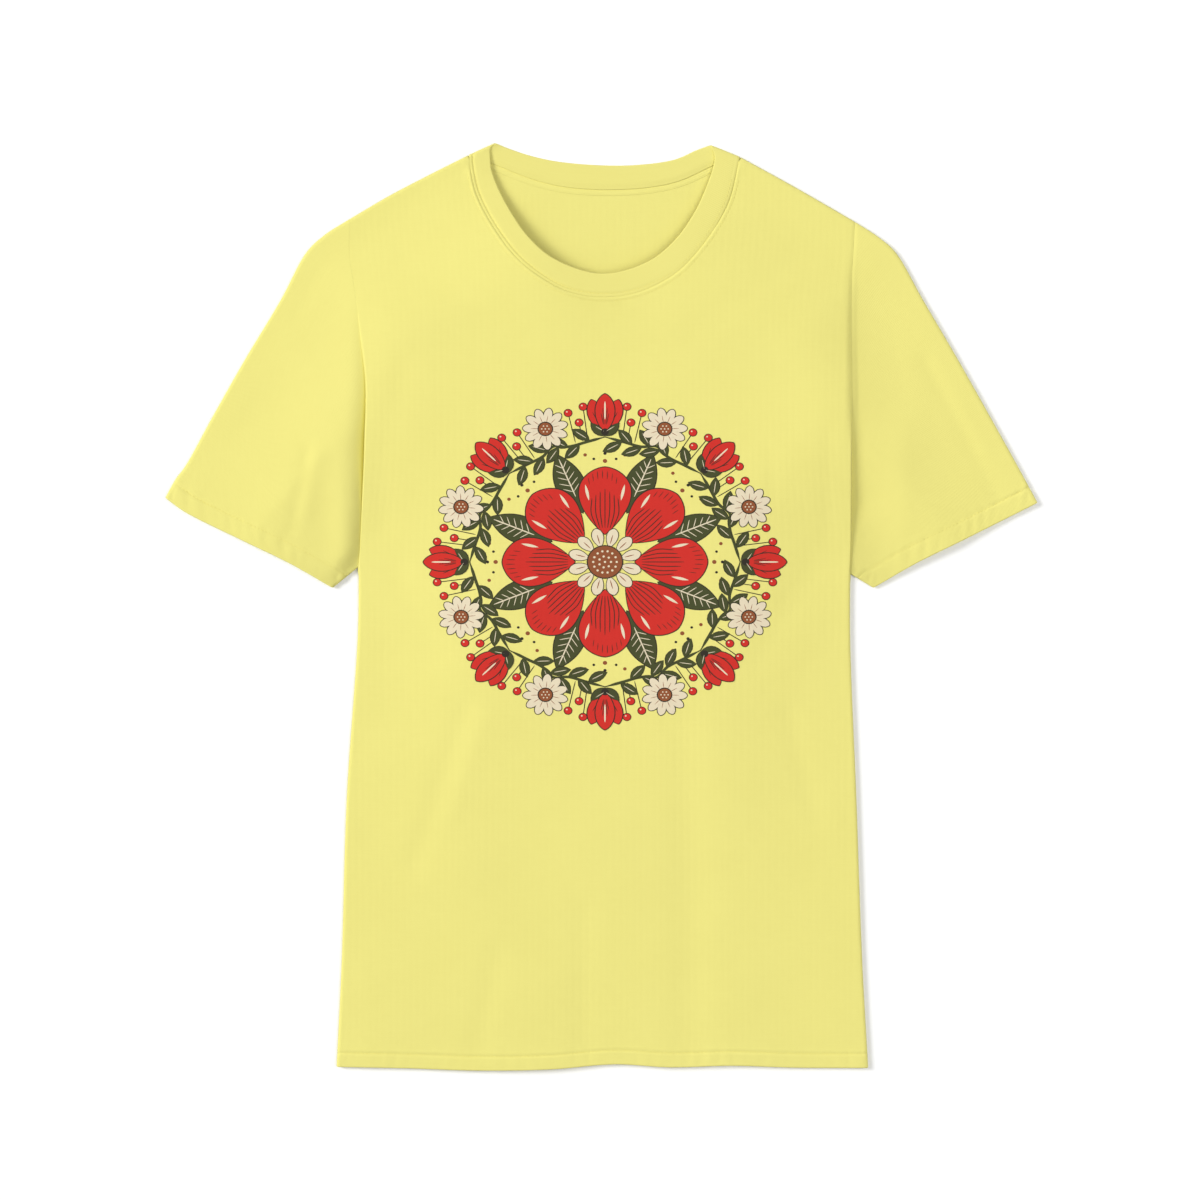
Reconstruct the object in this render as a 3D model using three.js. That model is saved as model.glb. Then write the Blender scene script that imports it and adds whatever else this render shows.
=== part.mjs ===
// A yellow short-sleeved crew-neck T-shirt, laid flat with its front up.
// X runs across the shirt, +Y points to its neck and +Z up from the surface it lies on. Millimetres.
// Its cloth is built as thin closed sheets that keep a little air between front and back.
import * as THREE from 'three';

// Cloth and gaps
const JERSEY = 1.2;
const RIB = 1.6;
const TAPE = 0.8;
const TAPE_WIDTH = 6;
const SEAM_GAP = 0.5;
const FOLD_GAP = 0.9; // between the middles of the front and back cloth where they meet at a fold
const RIB_SEAM_SHARE = 0.11; // share of the rib's width left clear of the panels

// Heights over the surface, and how far in from a folded edge they are reached
const FOLD_HEIGHT = 3;
const EDGE_RISE = 3.5; // just inside a folded edge
const EDGE_ROUND = 5;
const CHEST_LOFT = 14;
const HEM_LOFT = 9;
const HEM_REACH = 240;
const SHOULDER_LOFT = 12;
const CUFF_LOFT = 8.5;
const LOFT_REACH = 110;
const ARM_REACH = 28; // how far inside the armholes the body starts to slope to the cuffs
const BACK_ROUND = 8;
const ARMHOLE_DIP = 4;
const ARMHOLE_DIP_REACH = 9;
const COLLAR_DROOP = 1.5;

// Outline of the wearer's right half, which lies at -X: [x, y]
const RIGHT_HALF = {
  collarTip: [-82.5, 355.2],
  collarCorner: [-102, 346.3],
  shoulderTip: [-193.3, 297.2],
  sleeveFold: [
    [-212.5, 285], [-226.3, 271.9], [-246.2, 235.1], [-273.8, 189.1],
    [-299.9, 143], [-320, 107], [-334.4, 84],
  ],
  cuff: [[-319.8, 73.5], [-274.6, 51], [-238.5, 33.5]],
  cuffEnd: [-206.3, 15],
  armpit: [-186.4, 31.1],
  armhole: [[-181.8, 125], [-181, 171], [-185.6, 210], [-189.5, 243], [-193.6, 270]],
  side: [[-187, -20], [-195.6, -148], [-199.4, -271]],
  hemCorner: [-203.3, -352.4],
};

// Outline of the wearer's left half, which lies at +X
const LEFT_HALF = {
  collarTip: [84, 353.6],
  collarCorner: [105.8, 344.8],
  shoulderTip: [194.1, 294.9],
  sleeveFold: [
    [211, 284], [224.9, 271.9], [246.2, 235.1], [273.1, 189.1],
    [299.1, 143], [319.4, 106.5], [333.6, 80.2],
  ],
  cuff: [[319.4, 73], [275.4, 51], [240, 33.5]],
  cuffEnd: [207.9, 15],
  armpit: [190.2, 25.7],
  armhole: [[188.7, 115], [187.9, 166], [188, 217], [190.4, 253], [192.6, 275]],
  side: [[190.2, -26], [195, -148], [199.4, -271]],
  hemCorner: [204, -353.2],
};

// Hem between its two corners, and the four edges of the neck rib between its folded ends
const HEM = [[-97, -355.1], [10, -350.4], [100, -352.2]];
const FRONT_SEAM = [
  [-101, 334], [-95.9, 315.6], [-82.8, 290.3], [-65.2, 267], [-46, 251.2], [-26.8, 241], [-2, 236.6],
  [27, 240], [56, 254.5], [71.3, 269.5], [86.4, 290], [97.2, 311], [103.8, 336],
];
const FRONT_FREE_EDGE = [
  [-86.4, 346], [-85.6, 335.6], [-80.5, 321], [-70.5, 302], [-57, 282.5], [-37, 265.2], [0, 253.6],
  [35.5, 263], [57, 280.5], [72.5, 303], [81.6, 323.3], [86.2, 337], [87.2, 345.5],
];
const BACK_SEAM = [
  [-88, 341.6], [-55.2, 328.7], [-30.7, 322.5], [1, 320], [36.8, 321.9], [60, 327], [90, 340.6],
];
const BACK_FREE_EDGE = [
  [-72.9, 351.2], [-56, 345.5], [-36, 341], [-5.4, 338], [25.3, 338], [56, 342.3], [74, 350],
];

// Sample spacing, in mm from a folded edge, then an even share of the rest
const NEAR_FOLD = [0, 1, 2.6, 5, 8.5, 15, 26];
const PANEL_SPAN = 400;
const PANEL_LENGTH = 640;
const PANEL_COLUMNS = 14;
const PANEL_ROWS = 15;
const SLEEVE_SPAN = 220;
const SLEEVE_COLUMNS = 6;
const SLEEVE_ROWS = 7;
const FRONT_RIB_STEPS = 28;
const BACK_RIB_STEPS = 20;
const TAPE_STEPS = 16;
const SHOULDER_SHARE = 0.2; // share of a panel's top edge that each shoulder takes
const ARMPIT_GAP = 1.5; // between body and sleeve at the armpit, where they bend most
const ROOT_BLEND = 8; // power by which a sleeve's folds leave its root for their own lines

const spline = (points) =>
  new THREE.CatmullRomCurve3(points.map(([x, y]) => new THREE.Vector3(x, y, 0)), false, 'centripetal');

// One path out of several curves, each taking the given share of the whole
function chain(curves, shares) {
  return (t) => {
    let start = 0;
    let i = 0;
    while (i < curves.length - 1 && t > start + shares[i]) start += shares[i++];
    const along = Math.min(Math.max((t - start) / shares[i], 0), 1);
    return curves[i].getPointAt(along);
  };
}

const reversed = (points) => [...points].reverse();

// Curves of one half
function curvesOf(half) {
  const side = spline([half.hemCorner, ...reversed(half.side), half.armpit]);
  const armhole = spline([half.armpit, ...half.armhole, half.shoulderTip]);
  return {
    side,
    armhole,
    sideShare: side.getLength() / (side.getLength() + armhole.getLength()),
    collarFold: spline([half.collarTip, half.collarCorner]),
    shoulder: spline([half.collarCorner, half.shoulderTip]),
    sleeveFold: spline([half.shoulderTip, ...half.sleeveFold]),
    cuff: spline([half.sleeveFold.at(-1), ...half.cuff, half.cuffEnd]),
    underarm: spline([half.armpit, half.cuffEnd]),
  };
}

const right = curvesOf(RIGHT_HALF);
const left = curvesOf(LEFT_HALF);

// Distance from a point to a curve, through points set close along it
const POINT_SPACING = 5;
const trace = (curve) => curve.getSpacedPoints(Math.ceil(curve.getLength() / POINT_SPACING));
const segment = new THREE.Line3();
const nearest = new THREE.Vector3();

function distanceTo(paths, x, y) {
  const point = new THREE.Vector3(x, y, 0);
  let best = Infinity;
  for (const path of paths) {
    for (let i = 1; i < path.length; i++) {
      segment.set(path[i - 1], path[i]).closestPointToPoint(point, true, nearest);
      best = Math.min(best, nearest.distanceTo(point));
    }
  }
  return best;
}

const folds = [right, left].flatMap((half) =>
  [half.collarFold, half.shoulder, half.sleeveFold, half.underarm, half.side].map(trace));
const armholes = [trace(right.armhole), trace(left.armhole)];

// Rises from 0 at a fold as a quarter round, and is 1 from `reach` on
const roundOff = (distance, reach) => Math.sqrt(1 - (1 - Math.min(distance / reach, 1)) ** 2);
const { lerp, smoothstep } = THREE.MathUtils;

// Full height of the front at a place: less towards the hem, the shoulders and the cuffs
function loft(x, y) {
  const body = lerp(HEM_LOFT, CHEST_LOFT, smoothstep(y, HEM[0][1], HEM[0][1] + HEM_REACH));
  const shirtEdge = RIGHT_HALF.armpit[0];
  const outwards = smoothstep(Math.abs(x), -shirtEdge - ARM_REACH, -RIGHT_HALF.sleeveFold.at(-1)[0]);
  const upwards = smoothstep(y, RIGHT_HALF.armpit[1], RIGHT_HALF.shoulderTip[1]);
  return lerp(lerp(body, SHOULDER_LOFT, upwards), CUFF_LOFT, outwards);
}

// Middle of the front cloth. It dips along the armhole seams, most at the armpits
function frontHeight(x, y) {
  const inwards = distanceTo(folds, x, y);
  const rest = loft(x, y) - FOLD_HEIGHT - EDGE_RISE;
  const rise = EDGE_RISE * roundOff(inwards, EDGE_ROUND) + rest * smoothstep(inwards, 0, LOFT_REACH);
  const dipShare = 1 - smoothstep(y, RIGHT_HALF.armpit[1], RIGHT_HALF.shoulderTip[1]);
  const dip = ARMHOLE_DIP * dipShare * Math.exp(-((distanceTo(armholes, x, y) / ARMHOLE_DIP_REACH) ** 2));
  return FOLD_HEIGHT + rise - Math.min(dip, rise);
}

// Middle of a back cloth of a given thickness, which lies flat and curls up to its folds
function backHeight(x, y, thickness) {
  const flat = thickness / 2;
  return flat + (FOLD_HEIGHT - flat) * (1 - roundOff(distanceTo(folds, x, y), BACK_ROUND));
}

// Surface spanned between four edges, each a function of 0 to 1
function patch(bottom, top, start, end) {
  const corners = [bottom(0), bottom(1), top(0), top(1)];
  return (u, v) => {
    const point = new THREE.Vector3();
    point.addScaledVector(bottom(u), 1 - v).addScaledVector(top(u), v);
    point.addScaledVector(start(v), 1 - u).addScaledVector(end(v), u);
    point.addScaledVector(corners[0], -(1 - u) * (1 - v)).addScaledVector(corners[1], -u * (1 - v));
    return point.addScaledVector(corners[2], -(1 - u) * v).addScaledVector(corners[3], -u * v);
  };
}

const evenly = (count) => Array.from({ length: count + 1 }, (_, i) => i / count);

// Shares of a span that are close together near one or both of its ends
function sharesOf(span, middleCount, { atStart = true, atEnd = true } = {}) {
  const near = NEAR_FOLD.map((distance) => distance / span);
  const first = atStart ? near : [0];
  const last = atEnd ? reversed(near.map((share) => 1 - share)) : [1];
  const [from, to] = [first.at(-1), last[0]];
  const middle = evenly(middleCount).slice(1, -1).map((share) => lerp(from, to, share));
  return [...first, ...middle, ...last];
}

// Unit normals of a grid of points, by its neighbours; a ring's columns wrap round
function normalsOf(grid, ring) {
  const columns = grid[0].length;
  return grid.map((row, i) => row.map((_, j) => {
    const up = grid[Math.min(i + 1, grid.length - 1)][j];
    const down = grid[Math.max(i - 1, 0)][j];
    const next = row[ring ? (j + 1) % columns : Math.min(j + 1, columns - 1)];
    const previous = row[ring ? (j + columns - 1) % columns : Math.max(j - 1, 0)];
    return next.clone().sub(previous).cross(up.clone().sub(down)).normalize();
  }));
}

// Closed sheet of even thickness round a grid of points, split into triangles alike on both faces
function sheet(grid, thickness, { ring = false } = {}) {
  const [rows, columns] = [grid.length, grid[0].length];
  const normals = normalsOf(grid, ring);
  const positions = [];
  for (const side of [1, -1]) {
    grid.forEach((row, i) => row.forEach((point, j) => {
      positions.push(...point.clone().addScaledVector(normals[i][j], side * thickness / 2));
    }));
  }
  const outer = (i, j) => i * columns + (j % columns);
  const inner = (i, j) => rows * columns + outer(i, j);
  const index = [];
  const quad = (a, b, c, d) => index.push(a, b, c, a, c, d);
  const lastColumn = ring ? columns : columns - 1;
  for (let i = 0; i < rows - 1; i++) {
    for (let j = 0; j < lastColumn; j++) {
      quad(outer(i, j), outer(i, j + 1), outer(i + 1, j + 1), outer(i + 1, j));
      index.push(inner(i, j), inner(i + 1, j + 1), inner(i, j + 1));
      index.push(inner(i, j), inner(i + 1, j), inner(i + 1, j + 1));
    }
  }
  for (let j = 0; j < lastColumn; j++) {
    quad(outer(0, j + 1), outer(0, j), inner(0, j), inner(0, j + 1));
    quad(outer(rows - 1, j), outer(rows - 1, j + 1), inner(rows - 1, j + 1), inner(rows - 1, j));
  }
  if (!ring) {
    const end = columns - 1;
    for (let i = 0; i < rows - 1; i++) {
      quad(outer(i, 0), outer(i + 1, 0), inner(i + 1, 0), inner(i, 0));
      quad(outer(i + 1, end), outer(i, end), inner(i, end), inner(i + 1, end));
    }
  }
  const geometry = new THREE.BufferGeometry();
  geometry.setAttribute('position', new THREE.Float32BufferAttribute(positions, 3));
  geometry.setIndex(index);
  geometry.computeVertexNormals();
  return geometry;
}

// Turns a surface that came out facing in
function facingOut(geometry) {
  const position = geometry.getAttribute('position');
  const index = geometry.getIndex().array;
  const [a, b, c] = [new THREE.Vector3(), new THREE.Vector3(), new THREE.Vector3()];
  let volume = 0;
  for (let i = 0; i < index.length; i += 3) {
    [a, b, c].forEach((corner, k) => corner.fromBufferAttribute(position, index[i + k]));
    volume += a.dot(b.cross(c));
  }
  if (volume < 0) index.reverse();
  geometry.computeVertexNormals();
  return geometry;
}

// Body panels, from the hem up to the shoulders and a neckline
function bodyPanel(neckline, heightAt, foldGap) {
  const shares = [SHOULDER_SHARE, 1 - 2 * SHOULDER_SHARE, SHOULDER_SHARE];
  const neck = spline([RIGHT_HALF.collarCorner, ...neckline, LEFT_HALF.collarCorner]);
  const rightShoulder = spline([RIGHT_HALF.shoulderTip, RIGHT_HALF.collarCorner]);
  const top = chain([rightShoulder, neck, left.shoulder], shares);
  const hem = spline([RIGHT_HALF.hemCorner, ...HEM, LEFT_HALF.hemCorner]);
  const edgeOf = (half) => chain([half.side, half.armhole], [half.sideShare, 1 - half.sideShare]);
  const surface = patch((u) => hem.getPointAt(u), top, edgeOf(right), edgeOf(left));
  const columns = sharesOf(PANEL_SPAN, PANEL_COLUMNS);
  const rows = sharesOf(PANEL_LENGTH, PANEL_ROWS, { atStart: false });
  const grid = rows.map((v) => columns.map((u) => {
    const point = surface(u, v);
    return point.setZ(heightAt(point.x, point.y) + foldGap);
  }));
  return facingOut(sheet(grid, JERSEY));
}

// A sleeve is a flat tube: its front and back meet at the outer fold and at the underarm
function sleeve(half, outwards) {
  const rootEdge = (t) => {
    const gap = lerp(SEAM_GAP, ARMPIT_GAP, t);
    return half.armhole.getPointAt(1 - t).add(new THREE.Vector3(outwards * gap, 0, 0));
  };
  const along = (curve, root) => (t) => curve.getPointAt(t).lerp(root, (1 - t) ** ROOT_BLEND);
  const surface = patch(
    rootEdge,
    (t) => half.cuff.getPointAt(t),
    along(half.sleeveFold, rootEdge(0)),
    along(half.underarm, rootEdge(1)),
  );
  const across = sharesOf(SLEEVE_SPAN, SLEEVE_COLUMNS);
  const stations = sharesOf(SLEEVE_SPAN, SLEEVE_ROWS, { atEnd: false });
  const grid = stations.map((v) => {
    const points = across.map((u) => surface(u, v));
    const front = points.map((p) => p.clone().setZ(frontHeight(p.x, p.y)));
    const back = reversed(points.slice(1, -1)).map((p) => p.clone().setZ(backHeight(p.x, p.y, JERSEY)));
    return [...front, ...back];
  });
  return facingOut(sheet(grid, JERSEY, { ring: true }));
}

// The neck rib is a ring folded flat at the two tops of the shoulders
function neckRib() {
  const tips = [RIGHT_HALF.collarTip, LEFT_HALF.collarTip];
  const corners = [RIGHT_HALF.collarCorner, LEFT_HALF.collarCorner];
  const across = [RIB_SEAM_SHARE, 1 / 3, 2 / 3, 1];
  const closeAtEnds = (count) => evenly(count).map((share) => (1 - Math.cos(Math.PI * share)) / 2);
  const arc = (ends, points) => spline([ends[0], ...points, ends[1]]);
  const halfRing = (seam, freeEdge, shares, heightAt) => shares.map((t) => across.map((v) => {
    const point = seam.getPointAt(t).lerp(freeEdge.getPointAt(t), v);
    return point.setZ(heightAt(point.x, point.y, v));
  }));
  const front = halfRing(arc(corners, FRONT_SEAM), arc(tips, FRONT_FREE_EDGE), closeAtEnds(FRONT_RIB_STEPS),
    (x, y, v) => Math.max(frontHeight(x, y) - COLLAR_DROOP * v * v, FOLD_HEIGHT));
  const back = halfRing(arc(corners, BACK_SEAM), arc(tips, BACK_FREE_EDGE), closeAtEnds(BACK_RIB_STEPS),
    (x, y) => backHeight(x, y, RIB));
  const stations = [...front, ...reversed(back.slice(1, -1))];
  const grid = across.map((_, row) => stations.map((station) => station[row]));
  return facingOut(sheet(grid, RIB, { ring: true }));
}

// Tape that covers the neck seam inside the back
function neckTape() {
  const seam = spline(BACK_SEAM);
  const height = JERSEY + SEAM_GAP + TAPE / 2;
  const drops = [SEAM_GAP, TAPE_WIDTH + SEAM_GAP];
  const grid = drops.map((drop) => evenly(TAPE_STEPS).map((t) => {
    const point = seam.getPointAt(t);
    const down = seam.getTangentAt(t);
    return new THREE.Vector3(point.x + down.y * drop, point.y - down.x * drop, height);
  }));
  return facingOut(sheet(grid, TAPE));
}

const jersey = { color: 0xf1e888, roughness: 0.95, metalness: 0 };
const rib = { color: 0xefe585, roughness: 0.95, metalness: 0 };

function piece(name, geometry, finish) {
  const mesh = new THREE.Mesh(geometry, new THREE.MeshStandardMaterial(finish));
  mesh.name = name;
  return mesh;
}

const group = new THREE.Group();
group.add(
  piece('front_panel', bodyPanel(FRONT_SEAM, frontHeight, FOLD_GAP), jersey),
  piece('back_panel', bodyPanel(BACK_SEAM, (x, y) => backHeight(x, y, JERSEY), 0), jersey),
  piece('right_sleeve', sleeve(right, -1), jersey),
  piece('left_sleeve', sleeve(left, 1), jersey),
  piece('neck_rib', neckRib(), rib),
  piece('neck_tape', neckTape(), rib),
);

// The origin is under the middle of the whole shirt, on the surface
const box = new THREE.Box3().setFromObject(group);
const middle = box.getCenter(new THREE.Vector3());
group.position.set(-middle.x, -middle.y, -box.min.z);

export default group;
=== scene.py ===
# A yellow short-sleeved crew-neck T-shirt, laid flat with its front up and seen from straight above.
import math
import bmesh
import bpy
import numpy as np
from mathutils import Matrix, Vector
from mathutils.bvhtree import BVHTree


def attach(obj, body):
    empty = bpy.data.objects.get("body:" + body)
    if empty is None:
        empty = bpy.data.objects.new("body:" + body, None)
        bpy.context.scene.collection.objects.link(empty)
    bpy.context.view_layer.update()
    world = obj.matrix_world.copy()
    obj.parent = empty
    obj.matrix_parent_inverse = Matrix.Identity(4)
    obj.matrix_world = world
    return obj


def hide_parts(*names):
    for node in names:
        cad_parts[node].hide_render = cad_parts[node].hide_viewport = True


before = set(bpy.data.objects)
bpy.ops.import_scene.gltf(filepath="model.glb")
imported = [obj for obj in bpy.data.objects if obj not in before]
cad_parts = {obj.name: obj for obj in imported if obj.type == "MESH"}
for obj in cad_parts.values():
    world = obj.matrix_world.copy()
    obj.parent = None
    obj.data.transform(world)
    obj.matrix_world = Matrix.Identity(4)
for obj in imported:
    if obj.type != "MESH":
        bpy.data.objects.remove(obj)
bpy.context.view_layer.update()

MM = 0.001

# Outline of the wearer's right half, which lies at -X, in millimetres
RIGHT_HALF = {
    "collar_tip": (-82.5, 355.2),
    "collar_corner": (-102, 346.3),
    "shoulder": [(-134, 330.2), (-163, 315)],
    "shoulder_tip": (-193.3, 297.2),
    "sleeve_fold": [(-212.5, 285), (-226.3, 271.9), (-246.2, 235.1), (-273.8, 189.1), (-299.9, 143),
                    (-319.4, 107.6), (-326.9, 97.6), (-334.4, 84)],
    "cuff": [(-319.8, 73.5), (-274.6, 51), (-238.5, 33.5)],
    "cuff_end": (-206.3, 15),
    "armpit": (-186.4, 31.1),
    "armhole": [(-181.8, 125), (-181, 171), (-185.6, 210), (-189.5, 243), (-193.6, 270)],
    "side": [(-187, -20), (-195.6, -148), (-199.4, -271)],
    "hem_corner": (-203.3, -352.4),
}

# Outline of the wearer's left half, which lies at +X
LEFT_HALF = {
    "collar_tip": (84, 353.6),
    "collar_corner": (105.8, 344.8),
    "shoulder": [(150, 320.4)],
    "shoulder_tip": (194.1, 294.9),
    "sleeve_fold": [(211, 284), (224.9, 271.9), (246.2, 235.1), (273.1, 189.1), (299.1, 143),
                    (319.4, 106.5), (333.6, 80.2)],
    "cuff": [(319.4, 73), (275.4, 51), (240, 33.5)],
    "cuff_end": (207.9, 15),
    "armpit": (190.2, 25.7),
    "armhole": [(191.2, 52), (191, 115), (191.6, 166), (191.0, 217), (191.6, 253), (193, 275)],
    "side": [(190.2, -26), (195, -148), (199.4, -271)],
    "hem_corner": (204, -353.2),
}

# Hem between its corners, and the edges of the neck rib between its folded ends
HEM = [(-150, -353.4), (-97, -355.1), (-40, -354.2), (10, -350.4), (52, -352.6), (100, -351.4),
       (150, -353)]
FRONT_SEAM = [(-100.3, 333), (-95.9, 315.6), (-82.8, 290.3), (-65.2, 267), (-46, 251.2), (-26.8, 241),
              (-2, 236.6), (27, 240), (56, 254.5), (71.3, 269.5), (86.4, 290), (97.2, 311), (103.8, 336)]
FRONT_FREE_EDGE = [(-86.2, 351.5), (-86.4, 345), (-85.6, 335.6), (-80.5, 321), (-70.5, 302),
                   (-57, 282.5), (-37, 265.2), (0, 253.6), (35.5, 263), (57, 280.5), (72.5, 303),
                   (81.6, 323.3), (86.2, 337), (87.2, 345.5)]
BACK_SEAM = [(-88, 341.6), (-55.2, 328.7), (-30.7, 322.5), (1, 320), (36.8, 321.9), (60, 327), (90, 340.6)]
BACK_FREE_EDGE = [(-72.9, 351.2), (-56, 345.5), (-36, 341), (-5.4, 338), (25.3, 338), (56, 342.3),
                  (74, 350)]

# Heights over the surface, and how far in from a folded edge they are reached, in millimetres
JERSEY = 0.7
FOLD_HEIGHT = 2.2
EDGE_RISE = 1.4
EDGE_ROUND = 2.5
CHEST_LOFT = 14
HEM_LOFT = 4.5
HEM_REACH = 560
SHOULDER_LOFT = 12
CUFF_LOFT = 4
LOFT_REACH = 110
ARM_REACH = 28
BACK_ROUND = 8
COLLAR_DROOP = 0.2
NECK_LIFT = 3
NECK_LIFT_REACH = 45

# Turned hems, in millimetres: their widths and the gap between both layers. The rows of a panel that
# lie over the turned part are its first ten.
HEM_TURN = 10
CUFF_TURN = 12.8
TURN_GAP = 1.1
TURN_ROWS = slice(0, 10)

# Neck, in millimetres: the tape's width, and how far the stitch rows are from the seam on both its sides
TAPE_WIDTH = 4.6
STITCH_OUTSIDE_NECK = 3.0
STITCH_INSIDE_NECK = 2.6

# Armholes, in millimetres: the soft valley's half-width, the crisp edge's width, the seam's groove, the
# swell of the right sleeve, and where on the shirt the left armhole changes from crisp to soft
SOFT_VALLEY = 5.5
CRISP_EDGE = 0.65
SEAM_GROOVE = 0.4
SEAM_GROOVE_WIDTH = 1.6
SWELL = 8
SWELL_REACH = 18
LAP_TOP = (115, 165)

# Where a sleeve dips under the body beside its armhole: (y, depth), in millimetres
RIGHT_DIPS = [(30, 10), (51, 10), (82, 9.5), (120, 7.5), (158, 4.6), (197, 1.6), (225, 0.3), (245, 0)]
LEFT_DIPS = [(25, 5), (51, 5.5), (82, 5.2), (120, 4.4), (158, 3.6), (197, 2.8), (235, 2.2), (262, 0.8),
             (275, 0)]
# A dip takes at most this share of the height over the folded edges, to which some room is added
DIP_SHARE = 0.92
DIP_ROOM = 0.6


class Path:
    """A smooth line through points given in millimetres, walked by its length."""

    def __init__(self, points, samples=60):
        knots = np.array(points, float) * MM
        knots = np.vstack([2 * knots[0] - knots[1], knots, 2 * knots[-1] - knots[-2]])
        line = [knots[1]]
        for a, b, c, d in zip(knots, knots[1:], knots[2:], knots[3:]):
            line.extend(self.stretch(a, b, c, d, samples))
        self.points = np.array(line)
        steps = np.linalg.norm(np.diff(self.points, axis=0), axis=1)
        self.walked = np.concatenate([[0], np.cumsum(steps)])
        self.length = self.walked[-1]

    @staticmethod
    def stretch(a, b, c, d, samples):
        """Centripetal spline from b to c."""
        spans = [np.linalg.norm(q - p) for p, q in ((a, b), (b, c), (c, d))]
        t = np.cumsum([0] + [max(span, 1e-9) ** 0.5 for span in spans])
        s = np.linspace(t[1], t[2], samples + 1)[1:, None]
        ab = (t[1] - s) / (t[1] - t[0]) * a + (s - t[0]) / (t[1] - t[0]) * b
        bc = (t[2] - s) / (t[2] - t[1]) * b + (s - t[1]) / (t[2] - t[1]) * c
        cd = (t[3] - s) / (t[3] - t[2]) * c + (s - t[2]) / (t[3] - t[2]) * d
        abc = (t[2] - s) / (t[2] - t[0]) * ab + (s - t[0]) / (t[2] - t[0]) * bc
        bcd = (t[3] - s) / (t[3] - t[1]) * bc + (s - t[1]) / (t[3] - t[1]) * cd
        return (t[2] - s) / (t[2] - t[1]) * abc + (s - t[1]) / (t[2] - t[1]) * bcd

    def at(self, share):
        walked = np.clip(share, 0, 1) * self.length
        return np.stack([np.interp(walked, self.walked, self.points[:, k]) for k in (0, 1)], axis=-1)

    def spaced(self, spacing=2.5 * MM):
        return self.at(np.linspace(0, 1, max(int(self.length / spacing), 1) + 1))


def chain(paths, shares):
    """One path out of several, each taking its share of the whole."""
    starts = np.concatenate([[0], np.cumsum(shares)])

    def at(share):
        share = np.asarray(share, float)
        found = np.zeros(share.shape + (2,))
        for path, start, stop in zip(paths, starts, starts[1:]):
            inside = (share >= start - 1e-9) & (share <= stop + 1e-9)
            found[inside] = path.at((share[inside] - start) / (stop - start))
        return found

    return at


class Half:
    """The lines of one half of the shirt."""

    def __init__(self, points, outwards):
        self.outwards = outwards
        self.dips = LEFT_DIPS if outwards > 0 else RIGHT_DIPS
        self.corner, self.tip = points["collar_corner"], points["collar_tip"]
        self.side = Path([points["hem_corner"], *points["side"][::-1], points["armpit"]])
        self.armhole = Path([points["armpit"], *points["armhole"], points["shoulder_tip"]])
        self.collar_fold = Path([points["collar_tip"], points["collar_corner"]])
        self.shoulder = Path([points["collar_corner"], *points["shoulder"], points["shoulder_tip"]])
        self.sleeve_fold = Path([points["shoulder_tip"], *points["sleeve_fold"]])
        self.cuff = Path([points["sleeve_fold"][-1], *points["cuff"], points["cuff_end"]])
        self.underarm = Path([points["armpit"], points["cuff_end"]])
        self.side_share = self.side.length / (self.side.length + self.armhole.length)


right = Half(RIGHT_HALF, -1)
left = Half(LEFT_HALF, 1)
FOLDS = [line.spaced() for half in (right, left)
         for line in (half.collar_fold, half.shoulder, half.sleeve_fold, half.underarm, half.side)]
HEM_LINE = Path([RIGHT_HALF["hem_corner"], *HEM, LEFT_HALF["hem_corner"]])
NECK_SEAM = Path([RIGHT_HALF["collar_corner"], *FRONT_SEAM, LEFT_HALF["collar_corner"]])
ARMPIT_Y = RIGHT_HALF["armpit"][1] * MM
SHOULDER_Y = RIGHT_HALF["shoulder_tip"][1] * MM
HEM_Y = RIGHT_HALF["hem_corner"][1] * MM


def distance_to(lines, xy):
    """Distance from each place to the nearest of some lines."""
    flat = xy.reshape(-1, 2)
    starts = np.vstack([line[:-1] for line in lines])
    spans = np.vstack([line[1:] - line[:-1] for line in lines])
    best = np.empty(len(flat))
    for first in range(0, len(flat), 2000):
        away = flat[first:first + 2000, None] - starts
        along = np.clip((away * spans).sum(-1) / (spans ** 2).sum(-1), 0, 1)
        best[first:first + 2000] = np.linalg.norm(away - along[..., None] * spans, axis=-1).min(1)
    return best.reshape(xy.shape[:-1])


def away_from(line, xy):
    """Distance from each place to one line, in millimetres."""
    return distance_to([line.spaced()], xy) / MM


def mix(a, b, share):
    return a + (b - a) * share


def ease(value, low, high):
    """0 below low, 1 above high, and smooth between them."""
    share = np.clip((value - low) / (high - low), 0, 1)
    return share * share * (3 - 2 * share)


def round_off(distance, reach):
    """Rises from 0 at a fold to 1 at its reach as a quarter round."""
    return np.sqrt(1 - (1 - np.clip(distance / (reach * MM), 0, 1)) ** 2)


def loft(xy):
    """Full height of the front, in millimetres: less towards the hem, the shoulders and the cuffs."""
    x, y = np.abs(xy[..., 0]), xy[..., 1]
    body = mix(HEM_LOFT, CHEST_LOFT, ease(y, HEM_Y, HEM_Y + HEM_REACH * MM))
    armpit, cuff = RIGHT_HALF["armpit"][0], RIGHT_HALF["sleeve_fold"][-1][0]
    outwards = ease(x, -armpit * MM - ARM_REACH * MM, -cuff * MM)
    return mix(mix(body, SHOULDER_LOFT, ease(y, ARMPIT_Y, SHOULDER_Y)), CUFF_LOFT, outwards)


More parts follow.
